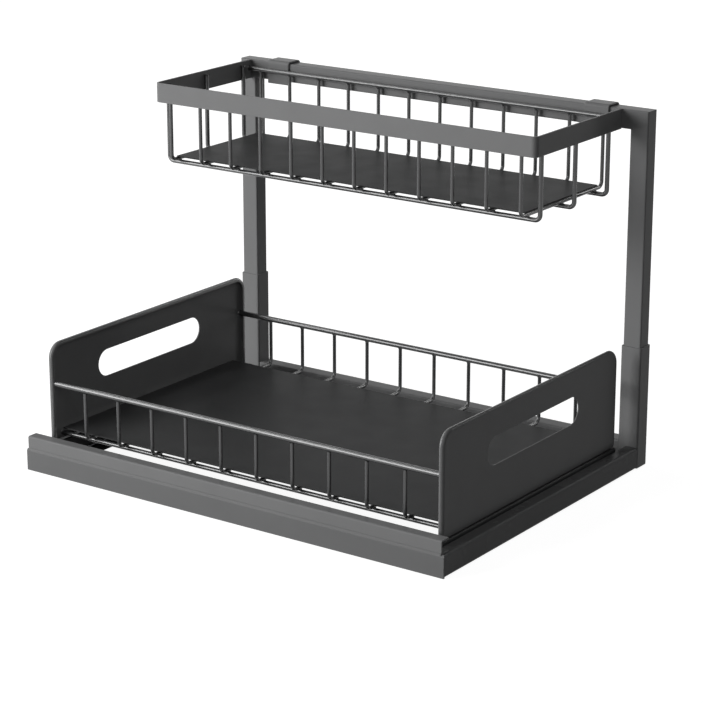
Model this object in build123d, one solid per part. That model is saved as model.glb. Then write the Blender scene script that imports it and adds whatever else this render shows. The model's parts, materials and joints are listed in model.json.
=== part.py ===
from build123d import *
import os

# An under sink organizer. A tray of folded panels and welded wire pulls out of a low
# base on ball slides, and a narrow wire basket hangs from a frame of square posts.
# Millimetres. X runs from left to right, Y from the front to the rear, and Z is up.
# The origin is on the floor, in the middle of the footprint.

os.makedirs("parts", exist_ok=True)

# Overall sizes: the width, the depth from the drawer face to the rear of the sleeves,
# and the height from the floor to the top of the crossbar
frame_width = 400.0
base_depth = 300.0
frame_height = 293.2

# Clearances: a tube in its sleeve, wires that are welded together, pieces that slide
# past each other, a hook on its bar, a screw in its hole, a floor panel before the bends
# of its wires, and how far a cut runs past
slip_gap = 0.15
weld_gap = 0.05
run_gap = 0.3
hang_gap = 0.3
screw_gap = 0.1
bend_gap = 1.0
overrun = 5.0

# Foot pads under the rails
pad_radius = 7.0
pad_thickness = 1.2
pad_setback = 25.0

# Side rails: folded C sections that open inwards, with a short top flange and a wide
# foot
rail_height = 17.8
rail_sheet = 1.5
rail_bend = 1.5
rail_top_flange = 10.4
rail_foot = 20.0

# Rear bar between the sleeves, and flat tie bar on the feet of the rails
rear_bar_depth = 14.0
rear_bar_height = 21.0
rear_bar_wall = 1.2
rear_bar_corner = 1.6
tie_width = 20.0
tie_thickness = 1.5
tie_setback = 10.2
tie_lap = 7.0

# Sleeves, posts and crossbar: rectangular tube
sleeve_width = 18.0
sleeve_depth = 16.0
sleeve_height = 101.0
sleeve_wall = 1.0
sleeve_corner = 1.6
post_wall = 1.0
post_corner = 1.3
post_insertion = 60.0

# Screws through the rear of the sleeves into the posts
screw_drop = 22.0
screw_length = 6.0
screw_radius = 1.9
screw_head_radius = 3.5
screw_head_height = 1.6
screw_key_radius = 1.5
screw_key_depth = 0.9

# Ball slides: an outer member in each rail, an inner member on each runner, and two
# rows of balls between their lips
slide_rear_gap = 12.2
slide_sheet = 0.9
slide_bend = 0.9
slide_rise = 7.4
ball_radius = 1.2
ball_row_spacing = 9.0
ball_reach = 4.2
race_gap = 0.05
lip_offset = 0.75
outer_lip_past_balls = 2.5
inner_lip_past_balls = 2.3
member_gap = 1.1

# Ball retainers: folded strips that keep the balls apart. They move half as far as the
# tray, which can travel as far as the slides are longer than they are
retainer_length = 76.0
retainer_sheet = 0.5
retainer_bend = 0.6
retainer_web_gap = 0.7
retainer_lip_past_balls = 2.2
retainer_end_margin = 8.0
balls_in_row = 4

# Runners: angles that carry the tray on the inner members
runner_sheet = 1.2
runner_bend = 1.0
runner_height = 15.2
runner_flange = 4.9
runner_rise = 2.7
runner_tab = 7.7
runner_tab_gap = 1.0

# Front bands: a folded drawer front, and a channel on its top flange
front_sheet = 1.5
front_bend = 1.5
front_flange = 9.5
lip_sheet = 1.2
lip_bend = 0.9
lip_height = 10.7
lip_end_inset = 1.9

# Tray side panels: sheet folded inwards all round, with a hand slot
side_step = 0.4
side_setback = 15.8
side_rear_gap = 16.0
side_height = 83.5
side_sheet = 1.2
side_flange = 4.5
side_bend = 1.8
side_top_corner = 12.5
side_foot_corner = 3.0
slot_length = 132.0
slot_height = 22.5
slot_rise = 50.0

# Tray wires and floor
rim_wire_radius = 2.3
rim_wire_rise = 49.9
rim_wire_gap = 0.4
cross_wire_radius = 1.5
cross_wire_bend = 5.0
tray_wire_count = 10
tray_wire_rise = 9.0
tray_floor_wire_radius = 1.8
tray_floor_wire_inset = 9.7
tray_floor_sheet = 1.0
tray_floor_gap = 1.0
tray_floor_rear_inset = 16.8

# Basket rim: a flat strap bent round the left, the front and the right
band_left_inset = 11.5
band_right_inset = 24.5
band_depth = 128.2
band_height = 16.0
band_sheet = 1.5
band_corner = 4.5

# Basket wires and floor
basket_wire_count = 12
basket_wire_inset = 12.75
basket_wire_drop = 63.3
wire_top_drop = 3.0
long_wire_radius = 1.85
long_wire_bend = 4.5
long_wire_front_inset = 12.2
long_wire_rear_inset = 10.7
top_wire_drop = 7.0
basket_floor_sheet = 1.0

# Hooks: straps bent over the crossbar
hook_width = 22.0
hook_sheet = 1.5
hook_bend = 2.2
hook_below_bar = 2.5
hook_tail = 14.0
hook_left_inset = 31.0
hook_right_inset = 22.0

# Places that follow from the sizes
half_width = frame_width / 2
front_y = -(base_depth + screw_head_height) / 2
rear_y = front_y + base_depth

rail_bottom = pad_thickness
rail_top = rail_bottom + rail_height
rail_front = front_y + front_sheet + run_gap
rail_rear = rear_y - sleeve_depth
rail_floor = rail_bottom + rail_sheet

socket_x = half_width - sleeve_width / 2
socket_y = rear_y - sleeve_depth / 2
sleeve_top = rail_bottom + sleeve_height
post_width = sleeve_width - 2 * (sleeve_wall + slip_gap)
post_depth = sleeve_depth - 2 * (sleeve_wall + slip_gap)
post_outer_x = socket_x + post_width / 2
screw_z = sleeve_top - screw_drop

# Places across a slide are measured inwards from the outer side face of the base
slide_front = rail_front
slide_rear = rail_rear - slide_rear_gap
slide_middle = (slide_front + slide_rear) / 2
slide_z = rail_floor + slide_rise
outer_web_in = rail_sheet + slide_sheet
ball_in = outer_web_in + ball_reach
race_radius = ball_radius + race_gap
outer_lip_end_in = ball_in + outer_lip_past_balls
inner_web_start_in = outer_lip_end_in + member_gap
inner_web_in = inner_web_start_in + slide_sheet
retainer_web_in = outer_web_in + retainer_web_gap

runner_top = rail_top + runner_rise
runner_bottom = runner_top - runner_height
runner_in = inner_web_in + runner_sheet

front_top = rail_top + run_gap
front_flange_bottom = front_top - front_sheet
tray_rear = rail_rear - side_rear_gap
side_front = front_y + side_setback
side_out = inner_web_in + side_step
side_inner_x = half_width - side_out - side_sheet
side_flange_x = half_width - side_out - side_flange

rim_z = runner_top + rim_wire_rise
rim_front_y = side_front + side_sheet + rim_wire_gap + rim_wire_radius
rim_rear_y = tray_rear - side_sheet - rim_wire_gap - rim_wire_radius
tray_wire_z = runner_top + tray_wire_rise
tray_wire_top = rim_z - rim_wire_radius - weld_gap
tray_wire_pitch = 2 * side_inner_x / (tray_wire_count + 1)
tray_floor_wire_z = tray_wire_z - cross_wire_radius - weld_gap - tray_floor_wire_radius
tray_floor_z = tray_wire_z + cross_wire_radius + weld_gap

bar_front = socket_y - post_depth / 2
bar_rear = socket_y + post_depth / 2
bar_bottom = frame_height - post_width

basket_left = band_left_inset - half_width
basket_right = half_width - band_right_inset
band_rear = bar_front - hang_gap
band_front = band_rear - band_depth
band_bottom = frame_height - band_height
wire_top = frame_height - wire_top_drop
hook_front = bar_front - hang_gap - hook_sheet
top_wire_y = hook_front - weld_gap - long_wire_radius
top_wire_z = frame_height - top_wire_drop
basket_wire_z = frame_height - basket_wire_drop
basket_wire_front_y = band_front + band_sheet + weld_gap + cross_wire_radius
basket_rear_wire_top = top_wire_z - long_wire_radius - weld_gap
first_wire_x = basket_left + band_sheet + basket_wire_inset
last_wire_x = basket_right - band_sheet - basket_wire_inset
long_wire_left_x = basket_left + band_sheet + weld_gap + long_wire_radius
long_wire_right_x = basket_right - band_sheet - weld_gap - long_wire_radius
long_wire_z = basket_wire_z - cross_wire_radius - weld_gap - long_wire_radius
long_wire_front_y = band_front + band_sheet + long_wire_front_inset
long_wire_rear_y = top_wire_y - long_wire_rear_inset
basket_floor_z = basket_wire_z + cross_wire_radius + weld_gap

# Wires and balls are drawn with flats: so many round them, and so many along a bend
wire_sides = 8
bend_steps = 2
half_side_angle = 180 / wire_sides
quarter_turn = 90

# Directions of the mitres at the top corners of the frame
left_mitre_direction = (1, 0, 1)
right_mitre_direction = (-1, 0, 1)


def along_x(section, start, end):
    """A section drawn across in Y and up in Z, run from left to right."""
    plane = Plane(origin=(start, 0, 0), x_dir=(0, 1, 0), z_dir=(1, 0, 0))
    return extrude(plane * section, amount=end - start)


def along_y(section, start, end):
    """A section drawn across in X and up in Z, run from front to rear."""
    plane = Plane(origin=(0, end, 0), x_dir=(1, 0, 0), z_dir=(0, -1, 0))
    return extrude(plane * section, amount=end - start)


def along_z(section, start, end):
    """A section drawn in plan, run upwards."""
    return extrude(Plane.XY.offset(start) * section, amount=end - start)


def block(x_start, x_end, y_start, y_end, z_start, z_end):
    """A plain block between two corners."""
    centre = Pos((x_start + x_end) / 2, (y_start + y_end) / 2)
    return along_z(centre * Rectangle(x_end - x_start, y_end - y_start), z_start, z_end)


def folded(points, sheet, bend):
    """The section of a folded sheet, given the middle line of the sheet."""
    return trace(FilletPolyline(*points, radius=bend), line_width=sheet)


def tube_section(width, height, wall, corner):
    """The section of a rectangular tube with rounded outer corners."""
    outside = RectangleRounded(width, height, corner)
    return outside - Rectangle(width - 2 * wall, height - 2 * wall)


def round_section(radius):
    """The section of a wire, drawn with flats so that the many wires stay light."""
    return RegularPolygon(radius, wire_sides, major_radius=False, rotation=half_side_angle)


def bent_wire(plane, points, wire_radius, bend):
    """A wire bent through points that lie in a plane, with short straights in its bends."""
    places = [points[0]]
    for edge in FilletPolyline(*points, radius=bend).edges():
        if edge.geom_type == GeomType.CIRCLE:
            places += [edge @ (step / bend_steps) for step in range(bend_steps + 1)]
    places.append(points[-1])
    path = plane * Polyline(*places)
    start = Plane(origin=path @ 0, x_dir=plane.z_dir, z_dir=path % 0)
    return sweep(start * round_section(wire_radius), path=path, transition=Transition.RIGHT)


def faceted_ball(radius):
    """A ball drawn with flats: what three octagonal prisms share."""
    prism = extrude(RegularPolygon(radius, wire_sides, rotation=half_side_angle), radius, both=True)
    return prism & prism.rotate(Axis.X, quarter_turn) & prism.rotate(Axis.Y, quarter_turn)


def right_hand(piece):
    """The right-hand piece of a pair."""
    return mirror(piece, about=Plane.YZ)


def inwards(distance):
    """The X of a place that lies inwards from the left side face of the base."""
    return distance - half_width


# Base


def base_rail():
    web = inwards(rail_sheet / 2)
    foot_z = rail_bottom + rail_sheet / 2
    flange_z = rail_top - rail_sheet / 2
    points = [
        (inwards(rail_foot), foot_z),
        (web, foot_z),
        (web, flange_z),
        (inwards(rail_top_flange), flange_z),
    ]
    return along_y(folded(points, rail_sheet, rail_bend), rail_front, rail_rear)


def foot_pads():
    x = half_width - rail_foot / 2
    pads = Part()
    for y in (rail_front + pad_setback, rail_rear - pad_setback):
        pads += along_z(Pos(-x, y) * Circle(pad_radius), 0, pad_thickness)
    return pads + right_hand(pads)


def rear_bar():
    section = tube_section(rear_bar_depth, rear_bar_height, rear_bar_wall, rear_bar_corner)
    end = half_width - sleeve_width
    return along_x(Pos(socket_y, rail_bottom + rear_bar_height / 2) * section, -end, end)


def front_tie_bar():
    end = half_width - rail_foot + tie_lap
    front = rail_front + tie_setback
    return block(-end, end, front, front + tie_width, rail_floor, rail_floor + tie_thickness)


def screw_hole():
    hole = Pos(-socket_x, screw_z) * Circle(screw_radius + screw_gap)
    return along_y(hole, socket_y, rear_y + overrun)


def post_sleeve():
    section = tube_section(sleeve_width, sleeve_depth, sleeve_wall, sleeve_corner)
    tube = along_z(Pos(-socket_x, socket_y) * section, rail_bottom, sleeve_top)
    return tube - screw_hole()


def left_mitre():
    return Plane(origin=(-post_outer_x, 0, frame_height), z_dir=left_mitre_direction)


def right_mitre():
    return Plane(origin=(post_outer_x, 0, frame_height), z_dir=right_mitre_direction)


def post():
    section = tube_section(post_width, post_depth, post_wall, post_corner)
    tube = along_z(Pos(-socket_x, socket_y) * section, sleeve_top - post_insertion, frame_height)
    return split(tube, bisect_by=left_mitre(), keep=Keep.BOTTOM) - screw_hole()


def crossbar():
    section = tube_section(post_depth, post_width, post_wall, post_corner)
    place = Pos(socket_y, frame_height - post_width / 2)
    tube = along_x(place * section, -post_outer_x, post_outer_x)
    tube = split(tube, bisect_by=left_mitre(), keep=Keep.TOP)
    return split(tube, bisect_by=right_mitre(), keep=Keep.TOP)


def post_screw():
    place = Pos(-socket_x, screw_z)
    head_end = rear_y + screw_head_height
    shank = along_y(place * Circle(screw_radius), rear_y - screw_length, rear_y)
    head = along_y(place * Circle(screw_head_radius), rear_y, head_end)
    key = along_y(
        place * RegularPolygon(screw_key_radius, side_count=6),
        head_end - screw_key_depth,
        head_end + overrun,
    )
    return shank + head - key


# Ball slides


def grooved(section, row_z, away):
    """Adds the rolled groove of a ball row to a lip that lies above or below it."""
    centre = Pos(inwards(ball_in), row_z)
    back_radius = race_radius + slide_sheet
    lip_side = Pos(inwards(ball_in), row_z + away * (lip_offset + back_radius / 2))
    bulge = centre * Circle(back_radius) & lip_side * Rectangle(2 * back_radius, back_radius)
    return section + bulge - centre * Circle(race_radius)


def slide_member(web_in, lip_end_in, away):
    """A slide member: a web and two lips, on the far or the near side of the balls."""
    row = ball_row_spacing / 2
    lip = row + away * (lip_offset + slide_sheet / 2)
    web = inwards(web_in)
    points = [
        (inwards(lip_end_in), slide_z + lip),
        (web, slide_z + lip),
        (web, slide_z - lip),
        (inwards(lip_end_in), slide_z - lip),
    ]
    section = folded(points, slide_sheet, slide_bend)
    section = grooved(section, slide_z + row, away)
    section = grooved(section, slide_z - row, -away)
    return along_y(section, slide_front, slide_rear)


def slide_outer():
    return slide_member(outer_web_in - slide_sheet / 2, outer_lip_end_in, 1)


def slide_inner():
    return slide_member(inner_web_in - slide_sheet / 2, ball_in - inner_lip_past_balls, -1)


def ball_retainer():
    row = ball_row_spacing / 2
    web = inwards(retainer_web_in + retainer_sheet / 2)
    lip_end = inwards(ball_in + retainer_lip_past_balls)
    points = [
        (lip_end, slide_z + row),
        (web, slide_z + row),
        (web, slide_z - row),
        (lip_end, slide_z - row),
    ]
    section = folded(points, retainer_sheet, retainer_bend)
    front = slide_middle - retainer_length / 2
    rear = slide_middle + retainer_length / 2
    strip = along_y(section, front, rear)
    pitch = (retainer_length - 2 * retainer_end_margin) / (balls_in_row - 1)
    balls = []
    for number in range(balls_in_row):
        y = front + retainer_end_margin + number * pitch
        hole = Pos(inwards(ball_in), y) * RegularPolygon(race_radius, wire_sides, major_radius=False)
        strip -= along_z(hole, slide_z - ball_row_spacing, slide_z + ball_row_spacing)
        for z in (slide_z - row, slide_z + row):
            balls.append(Pos(inwards(ball_in), y, z) * faceted_ball(ball_radius))
    return strip + balls


# Tray


def runner():
    web = inwards(inner_web_in + runner_sheet / 2)
    flange_z = runner_top - runner_sheet / 2
    points = [
        (web, runner_bottom),
        (web, flange_z),
        (inwards(inner_web_in + runner_flange), flange_z),
    ]
    start = front_y + front_sheet
    notch_end = front_y + front_flange + run_gap
    angle = along_y(folded(points, runner_sheet, runner_bend), notch_end, tray_rear)
    tab_y = start + runner_sheet / 2
    tab_points = [(inwards(runner_in + runner_tab), tab_y), (web, tab_y), (web, notch_end)]
    tab = folded(tab_points, runner_sheet, runner_bend)
    return angle + along_z(tab, runner_bottom, front_flange_bottom - runner_tab_gap)


def drawer_front():
    face_y = front_y + front_sheet / 2
    flange_z = front_top - front_sheet / 2
    points = [(face_y, rail_bottom), (face_y, flange_z), (front_y + front_flange, flange_z)]
    band = along_x(folded(points, front_sheet, front_bend), -half_width, half_width)
    notch = block(
        inwards(-overrun),
        inwards(runner_in + run_gap),
        front_y + front_sheet,
        front_y + front_flange + overrun,
        rail_bottom,
        front_top + overrun,
    )
    return band - notch - right_hand(notch)


def front_lip():
    face_y = front_y + lip_sheet / 2
    foot_z = front_top + lip_sheet / 2
    head_z = front_top + lip_height - lip_sheet / 2
    points = [
        (front_y + front_flange, foot_z),
        (face_y, foot_z),
        (face_y, head_z),
        (front_y + front_flange, head_z),
    ]
    end = half_width - lip_end_inset
    return along_x(folded(points, lip_sheet, lip_bend), -end, end)


def pan_outline(inset):
    """The outline of a side panel, or of its hollow, drawn across in Y and up in Z."""
    length = tray_rear - side_front - 2 * inset
    height = side_height - 2 * inset
    outline = Rectangle(length, height)
    outline = fillet(outline.vertices().group_by(Axis.Y)[-1], side_top_corner - inset)
    outline = fillet(outline.vertices().group_by(Axis.Y)[0], side_foot_corner - inset)
    return Pos((side_front + tray_rear) / 2, runner_top + side_height / 2) * outline


def tray_side():
    face = inwards(side_out)
    shell = along_x(pan_outline(0), face, face + side_flange)
    shell = fillet(shell.faces().sort_by(Axis.X)[0].edges(), side_bend)
    hollow = along_x(pan_outline(side_sheet), face + side_sheet, face + side_flange + overrun)
    slot_place = Pos((side_front + tray_rear) / 2, runner_top + slot_rise)
    slot = slot_place * SlotOverall(slot_length, slot_height)
    return shell - hollow - along_x(slot, face - overrun, face + side_flange)


def tray_rim_wire(y):
    return along_x(Pos(y, rim_z) * round_section(rim_wire_radius), -side_inner_x, side_inner_x)


def tray_cross_wire():
    points = [
        (rim_front_y, tray_wire_top),
        (rim_front_y, tray_wire_z),
        (rim_rear_y, tray_wire_z),
        (rim_rear_y, tray_wire_top),
    ]
    plane = Plane(origin=(0, 0, 0), x_dir=(0, 1, 0), z_dir=(1, 0, 0))
    return bent_wire(plane, points, cross_wire_radius, cross_wire_bend)


def tray_floor_wire(y):
    section = Pos(y, tray_floor_wire_z) * round_section(tray_floor_wire_radius)
    return along_x(section, -side_inner_x, side_inner_x)


def tray_floor_panel():
    edge = side_flange_x - tray_floor_gap
    front = rim_front_y + cross_wire_bend + bend_gap
    rear = rim_rear_y - tray_floor_rear_inset
    return block(-edge, edge, front, rear, tray_floor_z, tray_floor_z + tray_floor_sheet)


# Basket


def basket_band():
    left = basket_left + band_sheet / 2
    right = basket_right - band_sheet / 2
    front = band_front + band_sheet / 2
    points = [(left, band_rear), (left, front), (right, front), (right, band_rear)]
    section = folded(points, band_sheet, band_corner - band_sheet / 2)
    return along_z(section, band_bottom, frame_height)


def basket_cross_wire():
    points = [
        (basket_wire_front_y, wire_top),
        (basket_wire_front_y, basket_wire_z),
        (top_wire_y, basket_wire_z),
        (top_wire_y, basket_rear_wire_top),
    ]
    plane = Plane(origin=(0, 0, 0), x_dir=(0, 1, 0), z_dir=(1, 0, 0))
    return bent_wire(plane, points, cross_wire_radius, cross_wire_bend)


def basket_long_wire(y):
    points = [
        (long_wire_left_x, wire_top),
        (long_wire_left_x, long_wire_z),
        (long_wire_right_x, long_wire_z),
        (long_wire_right_x, wire_top),
    ]
    plane = Plane(origin=(0, y, 0), x_dir=(1, 0, 0), z_dir=(0, -1, 0))
    return bent_wire(plane, points, long_wire_radius, long_wire_bend)


def basket_top_wire():
    section = Pos(top_wire_y, top_wire_z) * round_section(long_wire_radius)
    return along_x(section, basket_left + band_sheet, basket_right - band_sheet)


def basket_floor_panel():
    front = basket_wire_front_y + cross_wire_bend + bend_gap
    rear = top_wire_y - cross_wire_bend - bend_gap
    top = basket_floor_z + basket_floor_sheet
    return block(first_wire_x, last_wire_x, front, rear, basket_floor_z, top)


def hook(x):
    front = hook_front + hook_sheet / 2
    rear = bar_rear + hang_gap + hook_sheet / 2
    strap_z = frame_height + hang_gap + hook_sheet / 2
    tail_end = frame_height + hang_gap + hook_sheet - hook_tail
    points = [
        (front, bar_bottom - hook_below_bar),
        (front, strap_z),
        (rear, strap_z),
        (rear, tail_end),
    ]
    section = folded(points, hook_sheet, hook_bend)
    return along_x(section, x - hook_width / 2, x + hook_width / 2)


# Every piece under its name

nodes = {
    "foot_pads": foot_pads(),
    "rear_bar": rear_bar(),
    "front_tie_bar": front_tie_bar(),
    "crossbar": crossbar(),
    "post_screws": post_screw() + right_hand(post_screw()),
    "drawer_front": drawer_front(),
    "front_lip": front_lip(),
    "tray_rim_wire_front": tray_rim_wire(rim_front_y),
    "tray_rim_wire_rear": tray_rim_wire(rim_rear_y),
    "tray_floor_wire_front": tray_floor_wire(rim_front_y + tray_floor_wire_inset),
    "tray_floor_wire_middle": tray_floor_wire((rim_front_y + rim_rear_y) / 2),
    "tray_floor_wire_rear": tray_floor_wire(rim_rear_y - tray_floor_wire_inset),
    "tray_floor_panel": tray_floor_panel(),
    "basket_band": basket_band(),
    "basket_long_wire_front": basket_long_wire(long_wire_front_y),
    "basket_long_wire_middle": basket_long_wire((long_wire_front_y + long_wire_rear_y) / 2),
    "basket_long_wire_rear": basket_long_wire(long_wire_rear_y),
    "basket_top_wire": basket_top_wire(),
    "basket_floor_panel": basket_floor_panel(),
    "hook_left": hook(basket_left + hook_left_inset),
    "hook_right": hook(basket_right - hook_right_inset),
}

pairs = {
    "base_rail": base_rail(),
    "post_sleeve": post_sleeve(),
    "post": post(),
    "slide_outer": slide_outer(),
    "ball_retainer": ball_retainer(),
    "slide_inner": slide_inner(),
    "runner": runner(),
    "tray_side": tray_side(),
}
for name, piece in pairs.items():
    nodes[name + "_left"] = piece
    nodes[name + "_right"] = right_hand(piece)

tray_wire = tray_cross_wire()
for number in range(tray_wire_count):
    x = (number + 1) * tray_wire_pitch - side_inner_x
    nodes[f"tray_cross_wire_{number + 1:02d}"] = Pos(x, 0, 0) * tray_wire

basket_wire = basket_cross_wire()
basket_wire_pitch = (last_wire_x - first_wire_x) / (basket_wire_count - 1)
for number in range(basket_wire_count):
    x = first_wire_x + number * basket_wire_pitch
    nodes[f"basket_cross_wire_{number + 1:02d}"] = Pos(x, 0, 0) * basket_wire

for name, piece in nodes.items():
    piece.label = name
    export_step(piece, f"parts/{name}.step")
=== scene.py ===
import json
import math

import bmesh
import bpy
from mathutils import Matrix, Vector

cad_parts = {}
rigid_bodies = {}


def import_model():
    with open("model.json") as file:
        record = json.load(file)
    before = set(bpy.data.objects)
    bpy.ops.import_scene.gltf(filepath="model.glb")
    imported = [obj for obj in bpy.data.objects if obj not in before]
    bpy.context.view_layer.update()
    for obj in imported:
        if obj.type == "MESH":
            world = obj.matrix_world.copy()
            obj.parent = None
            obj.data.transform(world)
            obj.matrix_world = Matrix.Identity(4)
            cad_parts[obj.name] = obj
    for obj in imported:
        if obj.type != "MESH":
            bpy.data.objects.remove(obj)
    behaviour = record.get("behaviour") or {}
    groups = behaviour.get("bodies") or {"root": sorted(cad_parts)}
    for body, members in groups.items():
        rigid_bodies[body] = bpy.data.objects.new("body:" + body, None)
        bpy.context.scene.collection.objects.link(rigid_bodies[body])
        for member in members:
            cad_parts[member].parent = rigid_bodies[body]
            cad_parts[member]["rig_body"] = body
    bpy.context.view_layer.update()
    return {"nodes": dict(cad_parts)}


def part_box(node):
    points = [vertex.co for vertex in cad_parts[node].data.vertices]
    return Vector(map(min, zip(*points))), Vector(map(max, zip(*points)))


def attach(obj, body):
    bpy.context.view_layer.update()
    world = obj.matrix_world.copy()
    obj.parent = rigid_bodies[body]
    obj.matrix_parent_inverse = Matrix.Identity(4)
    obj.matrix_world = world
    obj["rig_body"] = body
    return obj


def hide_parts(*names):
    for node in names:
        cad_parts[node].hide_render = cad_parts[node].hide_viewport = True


# The looks of an under sink organizer in dark painted steel: smooth round wires with
# their welds, sheet pieces with softened edges, and the finish of every surface.
# Metres. X runs from left to right, Y from the front to the rear, and Z is up.

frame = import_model()

mm = 0.001

# Wires: how many sides round them and steps along a bend
wire_sides = 20
bend_steps = 8
cross_wire_bend = 5.0 * mm
long_wire_bend = 4.5 * mm

# Welds: how far a wire's end reaches into what it is welded to, the fillet round that
# end, and the bead at a crossing
weld_reach = 0.35 * mm
fillet_length = 1.6 * mm
fillet_swell = 0.38
fillet_fall = 2.4
fillet_steps = 4
bead_length = 1.5 * mm
bead_height = 0.9 * mm
bead_sides = 12
bead_rings = 8

# Bead widths as a share of the wire's radius, and where the beads on the strap rim lie,
# as a share of its height
crossing_bead_width = 1.05
rim_bead_width = 0.9
rim_bead_heights = (0.28, 0.7)

# Sheet pieces: the softened edges that paint leaves on sheet, tube and strap, from which
# angle an edge is softened, and where the welded mitres of the frame lie
sheet_edge = 0.22 * mm
tube_edge = 0.3 * mm
strap_edge = 0.6 * mm
edge_segments = 2
edge_angle = math.radians(28)
mitre_margin = 0.2 * mm
mitre_height = 20.0 * mm

# Shading: from which angle an edge is drawn sharp, and how much large faces count
sharp_angle = math.radians(40)
face_weight = 100

# Tray side panels: the sheet, its outer bend, the return at the flange's inner end with
# its own bend, the rounding of cut edges and the share of it halfway round the slot's
# edge, the corners of the outline and the hand slot
panel_sheet = 1.2 * mm
panel_bend = 2.6 * mm
panel_return = 3.2 * mm
panel_return_bend = 1.8 * mm
panel_edge = 0.4 * mm
slot_edge_middle = 0.3
panel_top_corner = 12.5 * mm
panel_foot_corner = 4.2 * mm
panel_slot_length = 132.0 * mm
panel_slot_height = 22.5 * mm
panel_slot_rise = 50.0 * mm
corner_steps = 12
fold_steps = 8
edge_steps = 2

# The sealed seam between the drawer front and the lip: how far it lies behind their
# faces, its depth, how far it reaches below and above the joint, and in from the ends
seam_recess = 0.12 * mm
seam_depth = 1.0 * mm
seam_below = 1.2 * mm
seam_above = 0.7 * mm
seam_end_inset = 0.8 * mm

# Meshes taken from the solids: points this close are one, and flatter edges go
merge_distance = 0.002 * mm
flat_angle = math.radians(0.6)

# Finishes: how many cells to the metre each noise has, how finely its cells are broken up,
# which middle range of it is used, and what it is spread over
noise_middle = (0.3, 0.7)
flake_detail = 1.0
plain_detail = 2.0
mottle_detail = 3.0
mottle_cells = 38.0
mottle_share = (0.1, 0.45)
flake_cells = 2600.0
flake_share = 0.45
streak_stretch = (1.0, 0.04, 1.0)
streak_height = 0.02 * mm
streak_strength = 0.3
cloud_cells = 120.0
plastic_cells = 300.0
plastic_rough = (0.6, 0.75)

# The grain of each coat: its cells to the metre and its height
tube_grain = (1400.0, 0.003 * mm)
sheet_grain = (1400.0, 0.002 * mm)
panel_grain = (1600.0, 0.01 * mm)
wire_grain = (900.0, 0.002 * mm)
plastic_grain = (1800.0, 0.05 * mm)
grain_strength = 0.5

# Colours, each as the darkest and the lightest of its mottle
# The frame and lip grey is a lighter copy of the sheet grey: painted light, standing in for
# the stronger light on the posts, sleeves, crossbar, band, hooks, rear bar and lip
frame_grey_painted_light = ((0.148, 0.149, 0.15), (0.168, 0.169, 0.17))
sheet_grey = ((0.116, 0.117, 0.118), (0.134, 0.135, 0.136))
# The rail grey is a darker copy of the sheet grey: painted shade, standing in for the shade
# along the rails beside and under the tray
rail_grey_painted_shade = ((0.092, 0.093, 0.094), (0.108, 0.109, 0.11))
# The floor panel black is the floor panels' own colour, and on the runners it is partly
# painted shade
floor_and_shade_black = ((0.03, 0.0305, 0.031), (0.038, 0.0385, 0.039))
wire_black = ((0.04, 0.041, 0.042), (0.052, 0.053, 0.054))
zinc_grey = ((0.36, 0.365, 0.38), (0.5, 0.505, 0.515))
screw_grey = ((0.08, 0.08, 0.085), (0.14, 0.14, 0.145))
pad_black = ((0.018, 0.018, 0.019), (0.03, 0.03, 0.031))
white = (1.0, 1.0, 1.0, 1.0)

# Studio: the floor's size and own grey, how much it glows to the eye by the object, and
# between which distances that glow rises to the backdrop's white
floor_reach = 12.0
floor_cells = 4
floor_grey = 0.3
floor_glow = 0.93
floor_near = 0.5
floor_far = 2.4

# The light from all round, and the lamps. Each looks at the middle of the stage, and is
# given by its direction from the front and its rise above the middle, in degrees, its
# distance, side and power. The back and side ones light what the camera doesn't see, and
# the rim and edge ones draw the bright lines on bends
ambient = 0.02
stage_centre = Vector((0, 0, 0.12))
key_lamp = {"turn": -38, "rise": 12, "distance": 2.0, "side": 1.5, "watts": 66}
fill_lamp = {"turn": 50, "rise": 28, "distance": 2.4, "side": 1.3, "watts": 7.0}
back_lamp = {"turn": 168, "rise": 12, "distance": 2.4, "side": 1.2, "watts": 16.0}
side_lamp = {"turn": -105, "rise": 14, "distance": 2.4, "side": 1.2, "watts": 9.0}
rim_lamp = {"turn": 163, "rise": 34, "distance": 2.4, "side": 0.4, "watts": 4.0}
edge_lamp = {"turn": -64, "rise": 48, "distance": 2.4, "side": 0.4, "watts": 6.0}

# Camera, found from the vanishing points of the photograph
camera_place = Vector((1098.2, -1535.8, 683.0)) * mm
camera_azimuth = math.radians(35.25)
camera_pitch = math.radians(17.21)
camera_lens = 127.0
camera_sensor = 36.0


# Materials


def new_material(name):
    """A node material with its shader and the position of each point in the object."""
    material = bpy.data.materials.new(name)
    material.use_nodes = True
    nodes = material.node_tree.nodes
    shader = nodes["Principled BSDF"]
    place = nodes.new("ShaderNodeTexCoord").outputs["Object"]
    return material, shader, place


def noise(material, place, cells, detail=plain_detail):
    """Noise with so many cells to the metre."""
    node = material.node_tree.nodes.new("ShaderNodeTexNoise")
    node.inputs["Scale"].default_value = cells
    node.inputs["Detail"].default_value = detail
    material.node_tree.links.new(place, node.inputs["Vector"])
    return node.outputs["Fac"]


def ranged(material, value, low, high):
    """The value's middle range spread between low and high."""
    node = material.node_tree.nodes.new("ShaderNodeMapRange")
    node.inputs["From Min"].default_value = noise_middle[0]
    node.inputs["From Max"].default_value = noise_middle[1]
    node.inputs["To Min"].default_value = low
    node.inputs["To Max"].default_value = high
    material.node_tree.links.new(value, node.inputs["Value"])
    return node.outputs["Result"]


def blended(material, share, colours):
    """A colour between two, by the share."""
    dark, light = colours
    node = material.node_tree.nodes.new("ShaderNodeMix")
    node.data_type = "RGBA"
    node.inputs["A"].default_value = (*dark, 1)
    node.inputs["B"].default_value = (*light, 1)
    material.node_tree.links.new(share, node.inputs["Factor"])
    return node.outputs["Result"]


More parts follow.
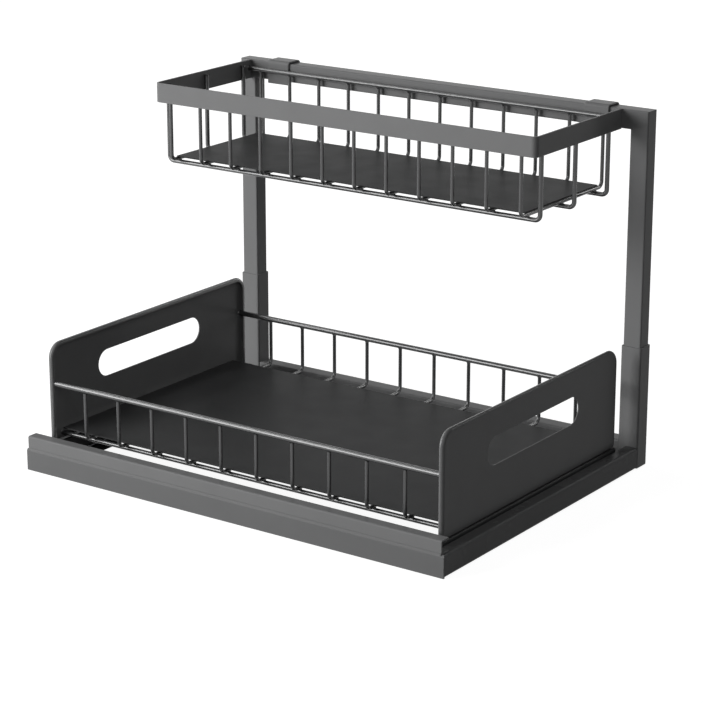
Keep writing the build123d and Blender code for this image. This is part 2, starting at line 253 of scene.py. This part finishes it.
def bumped(material, shader, height, distance, strength):
    """Raises the surface by the height."""
    node = material.node_tree.nodes.new("ShaderNodeBump")
    node.inputs["Strength"].default_value = strength
    node.inputs["Distance"].default_value = distance
    material.node_tree.links.new(height, node.inputs["Height"])
    material.node_tree.links.new(node.outputs["Normal"], shader.inputs["Normal"])


def grained(material, shader, place, grain):
    """Raises the surface by the grain of its coat."""
    cells, height = grain
    bumped(material, shader, noise(material, place, cells), height, grain_strength)


def painted(name, colours, grain, gloss, rough):
    """Satin paint with fine flakes, a slight mottle and the grain of the coat."""
    material, shader, place = new_material(name)
    links = material.node_tree.links
    mottle = noise(material, place, mottle_cells, mottle_detail)
    flakes = noise(material, place, flake_cells, flake_detail)
    mixed = material.node_tree.nodes.new("ShaderNodeMath")
    mixed.operation = "MULTIPLY_ADD"
    mixed.inputs[1].default_value = flake_share
    links.new(flakes, mixed.inputs[0])
    links.new(ranged(material, mottle, *mottle_share), mixed.inputs[2])
    links.new(blended(material, mixed.outputs[0], colours), shader.inputs["Base Color"])
    links.new(ranged(material, mottle, *rough), shader.inputs["Roughness"])
    shader.inputs["Specular IOR Level"].default_value = gloss
    grained(material, shader, place, grain)
    return material


def bare_metal(name, colours, rough, streak_cells):
    """Plated or bright metal, with streaks along the rolling direction."""
    material, shader, place = new_material(name)
    links = material.node_tree.links
    stretch = material.node_tree.nodes.new("ShaderNodeMapping")
    stretch.inputs["Scale"].default_value = streak_stretch
    links.new(place, stretch.inputs["Vector"])
    lines = noise(material, stretch.outputs["Vector"], streak_cells, mottle_detail)
    clouds = noise(material, place, cloud_cells)
    links.new(blended(material, clouds, colours), shader.inputs["Base Color"])
    links.new(ranged(material, lines, *rough), shader.inputs["Roughness"])
    shader.inputs["Metallic"].default_value = 1.0
    bumped(material, shader, lines, streak_height, streak_strength)
    return material


def soft_plastic(name, colours):
    """Matt plastic with a fine moulded grain."""
    material, shader, place = new_material(name)
    links = material.node_tree.links
    mottle = noise(material, place, plastic_cells, mottle_detail)
    links.new(blended(material, mottle, colours), shader.inputs["Base Color"])
    links.new(ranged(material, mottle, *plastic_rough), shader.inputs["Roughness"])
    grained(material, shader, place, plastic_grain)
    return material


# The frame and lip paints are the lighter copy of the sheet paint, painted light
frame_paint_painted_light = painted("frame_paint_painted_light", frame_grey_painted_light, tube_grain, gloss=0.03, rough=(0.2, 0.26))
lip_paint_painted_light = painted("lip_paint_painted_light", frame_grey_painted_light, tube_grain, gloss=0.01, rough=(0.18, 0.24))
sheet_paint = painted("sheet_paint", sheet_grey, sheet_grain, gloss=0.03, rough=(0.2, 0.26))
# The rail paint is the darker copy of the sheet paint, painted shade
rail_paint_painted_shade = painted("rail_paint_painted_shade", rail_grey_painted_shade, sheet_grain, gloss=0.02, rough=(0.24, 0.3))
bend_paint = painted("bend_paint", sheet_grey, sheet_grain, gloss=0.3, rough=(0.22, 0.28))
panel_and_shade_paint = painted("panel_and_shade_paint", floor_and_shade_black, panel_grain, gloss=0.03, rough=(0.4, 0.48))
wire_paint = painted("wire_paint", wire_black, wire_grain, gloss=0.65, rough=(0.2, 0.26))
zinc = bare_metal("zinc_plating", zinc_grey, rough=(0.32, 0.46), streak_cells=900.0)
screw_metal = bare_metal("screw_metal", screw_grey, rough=(0.3, 0.4), streak_cells=700.0)
pad_plastic = soft_plastic("pad_plastic", pad_black)


# Pieces


def mesh_from(bm, name):
    """The built shape as a mesh."""
    mesh = bpy.data.meshes.new(name)
    bm.to_mesh(mesh)
    bm.free()
    return mesh


def placed(name, data):
    """A new object in the scene."""
    thing = bpy.data.objects.new(name, data)
    bpy.context.scene.collection.objects.link(thing)
    return thing


def new_piece(name, mesh, material, node):
    """A piece that stands for a CAD node and rides on its body."""
    piece = placed(name, mesh)
    piece.data.materials.clear()
    piece.data.materials.append(material)
    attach(piece, frame["nodes"][node]["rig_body"])
    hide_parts(node)
    return piece


def rounded_path(points, bend):
    """The points with an arc of the bend radius in place of each corner."""
    path = [points[0]]
    for before, corner, after in zip(points, points[1:], points[2:]):
        back = (before - corner).normalized()
        on = (after - corner).normalized()
        centre = corner + (back + on) * bend
        for step in range(bend_steps + 1):
            turn = math.pi / 2 * step / bend_steps
            path.append(centre - on * bend * math.cos(turn) - back * bend * math.sin(turn))
    path.append(points[-1])
    return path


def with_fillets(path, radius):
    """The path with a radius at each point, swelling to a weld fillet at both ends."""
    start = (path[1] - path[0]).normalized()
    end = (path[-2] - path[-1]).normalized()
    rings = []
    for step in range(fillet_steps):
        share = step / fillet_steps
        swell = 1 + fillet_swell * (1 - share) ** fillet_fall
        rings.append((share * fillet_length, radius * swell))
    first = [(path[0] + start * along, size) for along, size in rings]
    last = [(path[-1] + end * along, size) for along, size in reversed(rings)]
    first.append((path[0] + start * fillet_length, radius))
    last.insert(0, (path[-1] + end * fillet_length, radius))
    return first + [(point, radius) for point in path[1:-1]] + last


def add_tube(bm, rings, across):
    """A tube through rings of given centre and radius. The path lies square to across."""
    loops = []
    for number, (centre, radius) in enumerate(rings):
        before = rings[max(number - 1, 0)][0]
        after = rings[min(number + 1, len(rings) - 1)][0]
        along = (after - before).normalized()
        up = along.cross(across)
        loop = []
        for side in range(wire_sides):
            turn = 2 * math.pi * side / wire_sides
            way = across * math.cos(turn) + up * math.sin(turn)
            loop.append(bm.verts.new(centre + way * radius))
        loops.append(loop)
    for first, second in zip(loops, loops[1:]):
        for side in range(wire_sides):
            other = (side + 1) % wire_sides
            bm.faces.new((first[side], first[other], second[other], second[side]))
    bm.faces.new(reversed(loops[0]))
    bm.faces.new(loops[-1])


def add_bead(bm, centre, size):
    """A small weld bead round a crossing."""
    bmesh.ops.create_uvsphere(
        bm,
        u_segments=bead_sides,
        v_segments=bead_rings,
        radius=1.0,
        matrix=Matrix.Translation(centre) @ Matrix.Diagonal((*size, 1)),
    )


def finished_mesh(bm, name):
    """The mesh with smooth faces that all look outwards."""
    bmesh.ops.recalc_face_normals(bm, faces=bm.faces)
    for face in bm.faces:
        face.smooth = True
    mesh = mesh_from(bm, name)
    mesh.set_sharp_from_angle(angle=sharp_angle)
    return mesh


def round_wire(bm, node):
    """The piece of a wire."""
    new_piece(node + "_round", finished_mesh(bm, node), wire_paint, node)


def straight_wire(node):
    """A straight wire along X, welded at both ends to what it reaches."""
    low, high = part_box(node)
    radius = (high.y - low.y) / 2
    y = (low.y + high.y) / 2
    z = (low.z + high.z) / 2
    path = [Vector((low.x - weld_reach, y, z)), Vector((high.x + weld_reach, y, z))]
    bm = bmesh.new()
    add_tube(bm, with_fillets(path, radius), Vector((0, 1, 0)))
    round_wire(bm, node)


def cross_wire(node, top_wire, floor_wires, band=None):
    """A U-shaped wire from front to rear, with a bead on each long wire under it."""
    low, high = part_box(node)
    radius = (high.x - low.x) / 2
    x = (low.x + high.x) / 2
    front = low.y + radius
    rear = high.y - radius
    z = low.z + radius
    front_top = high.z if band else high.z + weld_reach
    rear_low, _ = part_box(top_wire)
    rear_top = rear_low.z + weld_reach
    points = [(front, front_top), (front, z), (rear, z), (rear, rear_top)]
    path = rounded_path([Vector((x, *point)) for point in points], cross_wire_bend)
    bm = bmesh.new()
    add_tube(bm, with_fillets(path, radius), Vector((1, 0, 0)))
    size = (radius * crossing_bead_width, bead_length, bead_height)
    for wire in floor_wires:
        wire_low, wire_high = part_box(wire)
        y = (wire_low.y + wire_high.y) / 2
        add_bead(bm, Vector((x, y, low.z)), size)
    if band:
        band_low, band_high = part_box(band)
        size = (radius * rim_bead_width, bead_height, bead_length)
        for share in rim_bead_heights:
            weld_z = band_low.z + (band_high.z - band_low.z) * share
            add_bead(bm, Vector((x, low.y, weld_z)), size)
    round_wire(bm, node)


def long_wire(node):
    """A U-shaped wire from left to right under the basket."""
    low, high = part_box(node)
    radius = (high.y - low.y) / 2
    y = (low.y + high.y) / 2
    left = low.x + radius
    right = high.x - radius
    z = low.z + radius
    points = [(left, high.z), (left, z), (right, z), (right, high.z)]
    path = rounded_path([Vector((px, y, pz)) for px, pz in points], long_wire_bend)
    bm = bmesh.new()
    add_tube(bm, with_fillets(path, radius), Vector((0, 1, 0)))
    round_wire(bm, node)


def keep_flat(piece):
    """Shades the large faces flat, beside bends that are shaded round."""
    shading = piece.modifiers.new("flat faces", "WEIGHTED_NORMAL")
    shading.weight = face_weight
    shading.keep_sharp = True


frame_corner = Vector((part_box("post_right")[1].x, 0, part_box("crossbar")[1].z))


def on_mitre(point):
    """Whether the point lies on the plane where a post and the crossbar are welded."""
    across = frame_corner.x - abs(point.x)
    down = frame_corner.z - point.z
    return abs(across - down) < mitre_margin and down < mitre_height


def edged(node, material, width):
    """A sheet or tube piece with its cut edges softened, but not its mitres."""
    bm = bmesh.new()
    bm.from_mesh(frame["nodes"][node].data)
    bmesh.ops.remove_doubles(bm, verts=bm.verts, dist=merge_distance)
    bmesh.ops.dissolve_limit(bm, angle_limit=flat_angle, verts=bm.verts, edges=bm.edges)
    weight = bm.edges.layers.float.new("bevel_weight_edge")
    for edge in bm.edges:
        mitred = all(on_mitre(vertex.co) for vertex in edge.verts)
        if edge.calc_face_angle(0) > edge_angle and not mitred:
            edge[weight] = 1.0
    mesh = finished_mesh(bm, node)
    piece = new_piece(node + "_edged", mesh, material, node)
    bevel = piece.modifiers.new("edge", "BEVEL")
    bevel.width = width
    bevel.segments = edge_segments
    bevel.limit_method = "WEIGHT"
    bevel.use_clamp_overlap = True
    bevel.miter_outer = "MITER_ARC"
    keep_flat(piece)


def arc(first, second, radius, start, end, steps):
    """Points round a centre in a plane, from one angle in degrees to another."""
    points = []
    for step in range(steps + 1):
        turn = math.radians(start + (end - start) * step / steps)
        points.append((first + radius * math.cos(turn), second + radius * math.sin(turn)))
    return points


def pan_profile(width):
    """Inset from the outline and depth from the outer face, along the folded sheet."""
    bend = panel_bend
    turned = panel_return_bend
    lip = panel_return - panel_edge
    lip_front = width - panel_edge
    lip_rear = width - panel_sheet + panel_edge
    return (
        arc(bend, bend, bend, -90, -180, fold_steps)
        + arc(turned, width - turned, turned, 180, 90, fold_steps)
        + arc(lip, lip_front, panel_edge, 90, 0, edge_steps)
        + arc(lip, lip_rear, panel_edge, 0, -90, edge_steps)
        + arc(turned, width - turned, turned - panel_sheet, 90, 180, fold_steps)
        + arc(bend, bend, bend - panel_sheet, -180, -90, fold_steps)
    )


def pan_outline(low, high, inset):
    """The panel's outline in Y and Z, the inset inside its box."""
    foot = panel_foot_corner
    top = panel_top_corner
    corners = [
        (low.y + foot, low.z + foot, foot, 180),
        (high.y - foot, low.z + foot, foot, 270),
        (high.y - top, high.z - top, top, 0),
        (low.y + top, high.z - top, top, 90),
    ]
    points = []
    for y, z, radius, start in corners:
        points += arc(y, z, radius - inset, start, start + 90, corner_steps)
    return points


def slot_outline(y, z, growth):
    """The hand slot's outline in Y and Z, larger by the growth."""
    reach = panel_slot_height / 2 + growth
    half = (panel_slot_length - panel_slot_height) / 2
    front = arc(y + half, z, reach, -90, 90, 2 * corner_steps)
    rear = arc(y - half, z, reach, 90, 270, 2 * corner_steps)
    return front + rear


def slot_profile():
    """Growth of the slot and depth from the outer face, through the sheet."""
    middle = panel_edge * slot_edge_middle
    outer = [(panel_edge, 0), (middle, middle), (0, panel_edge)]
    return outer + [(growth, panel_sheet - depth) for growth, depth in reversed(outer)]


def add_rings(bm, rings):
    """Closed rings of points joined by faces, the first and the last ring given back."""
    loops = [[bm.verts.new(point) for point in ring] for ring in rings]
    count = len(loops[0])
    for first, second in zip(loops, loops[1:]):
        for number in range(count):
            other = (number + 1) % count
            bm.faces.new((first[number], first[other], second[other], second[number]))
    return loops[0], loops[-1]


def ring_edges(bm, loop):
    """The edges round a closed ring of vertices."""
    following = loop[1:] + loop[:1]
    return [bm.edges.get(pair) for pair in zip(loop, following)]


def folded_side(side):
    """A tray side panel: sheet folded inwards all round, with a hand slot. Its flange and
    return have a glossier coat than its faces."""
    node = f"tray_side_{side}"
    low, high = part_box(node)
    outwards = 1 if side == "right" else -1
    face = high.x if side == "right" else low.x
    middle_y = (low.y + high.y) / 2
    slot_z = low.z + panel_slot_rise
    rings = []
    for inset, depth in pan_profile(high.x - low.x):
        x = face - outwards * depth
        rings.append([(x, y, z) for y, z in pan_outline(low, high, inset)])
    slot_rings = []
    for growth, depth in slot_profile():
        x = face - outwards * depth
        slot_rings.append([(x, y, z) for y, z in slot_outline(middle_y, slot_z, growth)])
    bm = bmesh.new()
    outline_outer, outline_inner = add_rings(bm, rings)
    flange = range(fold_steps * len(rings[0]), len(bm.faces))
    slot_outer, slot_inner = add_rings(bm, slot_rings)
    for outline, slot in ((outline_outer, slot_outer), (outline_inner, slot_inner)):
        edges = ring_edges(bm, outline) + ring_edges(bm, slot)
        bmesh.ops.triangle_fill(bm, use_beauty=True, edges=edges)
    mesh = finished_mesh(bm, node)
    piece = new_piece(node + "_folded", mesh, sheet_paint, node)
    piece.data.materials.append(bend_paint)
    for number in flange:
        mesh.polygons[number].material_index = 1
    keep_flat(piece)


def seam_fill():
    """The sealed seam between the drawer front and the lip on it."""
    lip_low, lip_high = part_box("front_lip")
    near = lip_low.y + seam_recess
    far = lip_low.y + seam_depth
    bottom = lip_low.z - seam_below
    top = lip_low.z + seam_above
    corners = [(near, bottom), (near, top), (far, top), (far, bottom)]
    bm = bmesh.new()
    ends = []
    for x in (lip_low.x + seam_end_inset, lip_high.x - seam_end_inset):
        ends.append([bm.verts.new((x, *corner)) for corner in corners])
    left, right = ends
    bm.faces.new(left)
    bm.faces.new(reversed(right))
    for first, second in zip(range(4), (1, 2, 3, 0)):
        bm.faces.new((left[first], right[first], right[second], left[second]))
    bmesh.ops.recalc_face_normals(bm, faces=bm.faces)
    piece = placed("front_seam_fill", mesh_from(bm, "front_seam_fill"))
    piece.data.materials.append(lip_paint_painted_light)
    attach(piece, frame["nodes"]["front_lip"]["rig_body"])


# Tray

tray_floor_wires = [f"tray_floor_wire_{place}" for place in ("front", "middle", "rear")]
for place in ("front", "rear"):
    straight_wire(f"tray_rim_wire_{place}")
for node in tray_floor_wires:
    straight_wire(node)
for node in sorted(frame["nodes"]):
    if node.startswith("tray_cross_wire"):
        cross_wire(node, "tray_rim_wire_rear", tray_floor_wires)

# Basket

basket_long_wires = [f"basket_long_wire_{place}" for place in ("front", "middle", "rear")]
straight_wire("basket_top_wire")
for node in basket_long_wires:
    long_wire(node)
for node in sorted(frame["nodes"]):
    if node.startswith("basket_cross_wire"):
        cross_wire(node, "basket_top_wire", basket_long_wires, "basket_band")

# Sheet and tube pieces

for side in ("left", "right"):
    folded_side(side)
    edged(f"base_rail_{side}", rail_paint_painted_shade, sheet_edge)
    # The runners take the dark floor panel paint, which also paints shade into the groove
    # between the tray and the rails
    edged(f"runner_{side}", panel_and_shade_paint, sheet_edge)
    edged(f"hook_{side}", frame_paint_painted_light, strap_edge)
    edged(f"post_sleeve_{side}", frame_paint_painted_light, tube_edge)
    edged(f"post_{side}", frame_paint_painted_light, tube_edge)
for node in ("basket_band", "rear_bar", "crossbar"):
    edged(node, frame_paint_painted_light, sheet_edge)
edged("front_lip", lip_paint_painted_light, sheet_edge)
seam_fill()
for node in ("drawer_front", "front_tie_bar"):
    edged(node, sheet_paint, sheet_edge)
for node in ("tray_floor_panel", "basket_floor_panel"):
    edged(node, panel_and_shade_paint, sheet_edge)

# The ball slides, the screws and the pads keep their CAD shape


def finish_node(node, material):
    """Gives a CAD node its material."""
    mesh = frame["nodes"][node].data
    mesh.materials.clear()
    mesh.materials.append(material)


for side in ("left", "right"):
    finish_node(f"slide_outer_{side}", zinc)
    finish_node(f"slide_inner_{side}", zinc)
    finish_node(f"ball_retainer_{side}", zinc)
finish_node("post_screws", screw_metal)
finish_node("foot_pads", pad_plastic)


# Floor, light and camera


def seen_rays(tree):
    """One for a ray from the camera, a reflection or a clear material, and else nothing."""
    rays = tree.nodes.new("ShaderNodeLightPath")
    seen = rays.outputs["Is Camera Ray"]
    for kind in ("Is Glossy Ray", "Is Transmission Ray"):
        either = tree.nodes.new("ShaderNodeMath")
        either.operation = "MAXIMUM"
        tree.links.new(seen, either.inputs[0])
        tree.links.new(rays.outputs[kind], either.inputs[1])
        seen = either.outputs[0]
    return seen


def floor_material():
    """A white floor that keeps the shadows, for the eye and in reflections alike."""
    material = bpy.data.materials.new("floor")
    material.use_nodes = True
    nodes = material.node_tree.nodes
    links = material.node_tree.links
    nodes.clear()
    distance = nodes.new("ShaderNodeVectorMath")
    distance.operation = "LENGTH"
    links.new(nodes.new("ShaderNodeTexCoord").outputs["Object"], distance.inputs[0])
    level = nodes.new("ShaderNodeMapRange")
    level.inputs["From Min"].default_value = floor_near
    level.inputs["From Max"].default_value = floor_far
    level.inputs["To Min"].default_value = floor_glow
    level.inputs["To Max"].default_value = 1.0
    links.new(distance.outputs["Value"], level.inputs["Value"])
    glow = nodes.new("ShaderNodeMath")
    glow.operation = "MULTIPLY"
    links.new(seen_rays(material.node_tree), glow.inputs[0])
    links.new(level.outputs["Result"], glow.inputs[1])
    emission = nodes.new("ShaderNodeEmission")
    links.new(glow.outputs[0], emission.inputs["Strength"])
    diffuse = nodes.new("ShaderNodeBsdfDiffuse")
    diffuse.inputs["Color"].default_value = (floor_grey, floor_grey, floor_grey, 1)
    both = nodes.new("ShaderNodeAddShader")
    output = nodes.new("ShaderNodeOutputMaterial")
    links.new(diffuse.outputs[0], both.inputs[0])
    links.new(emission.outputs[0], both.inputs[1])
    links.new(both.outputs[0], output.inputs["Surface"])
    return material


def add_floor():
    """A wide plain floor."""
    bm = bmesh.new()
    bmesh.ops.create_grid(
        bm, x_segments=floor_cells, y_segments=floor_cells, size=floor_reach
    )
    floor = placed("floor", mesh_from(bm, "floor"))
    floor.data.materials.append(floor_material())


def add_lamp(name, turn, rise, distance, side, watts):
    """A square soft lamp that looks at the middle of the stage."""
    light = bpy.data.lights.new(name, "AREA")
    light.shape = "SQUARE"
    light.size = side
    light.energy = watts
    lamp = placed(name, light)
    turned = math.radians(turn)
    raised = math.radians(rise)
    level = math.cos(raised)
    way = Vector((math.sin(turned) * level, -math.cos(turned) * level, math.sin(raised)))
    lamp.location = stage_centre + way * distance
    lamp.rotation_euler = (-way).to_track_quat("-Z", "Y").to_euler()


def add_world():
    """Soft light from all round, and a white background."""
    world = bpy.data.worlds.new("studio")
    world.use_nodes = True
    nodes = world.node_tree.nodes
    links = world.node_tree.links
    around = nodes["Background"]
    around.inputs["Color"].default_value = white
    around.inputs["Strength"].default_value = ambient
    backdrop = nodes.new("ShaderNodeBackground")
    backdrop.inputs["Color"].default_value = white
    backdrop.inputs["Strength"].default_value = 1.0
    mix = nodes.new("ShaderNodeMixShader")
    links.new(seen_rays(world.node_tree), mix.inputs["Fac"])
    links.new(around.outputs[0], mix.inputs[1])
    links.new(backdrop.outputs[0], mix.inputs[2])
    links.new(mix.outputs[0], nodes["World Output"].inputs["Surface"])
    bpy.context.scene.world = world


def add_camera():
    """The camera at the photograph's viewing angle."""
    camera_data = bpy.data.cameras.new("camera")
    camera_data.lens = camera_lens
    camera_data.sensor_width = camera_sensor
    camera = placed("camera", camera_data)
    camera.location = camera_place
    camera.rotation_euler = (math.pi / 2 - camera_pitch, 0, camera_azimuth)
    bpy.context.scene.camera = camera


add_floor()
add_lamp("key", **key_lamp)
add_lamp("fill", **fill_lamp)
add_lamp("back", **back_lamp)
add_lamp("side", **side_lamp)
add_lamp("rim", **rim_lamp)
add_lamp("edge", **edge_lamp)
add_world()
add_camera()
bpy.context.scene.view_settings.view_transform = "Standard"
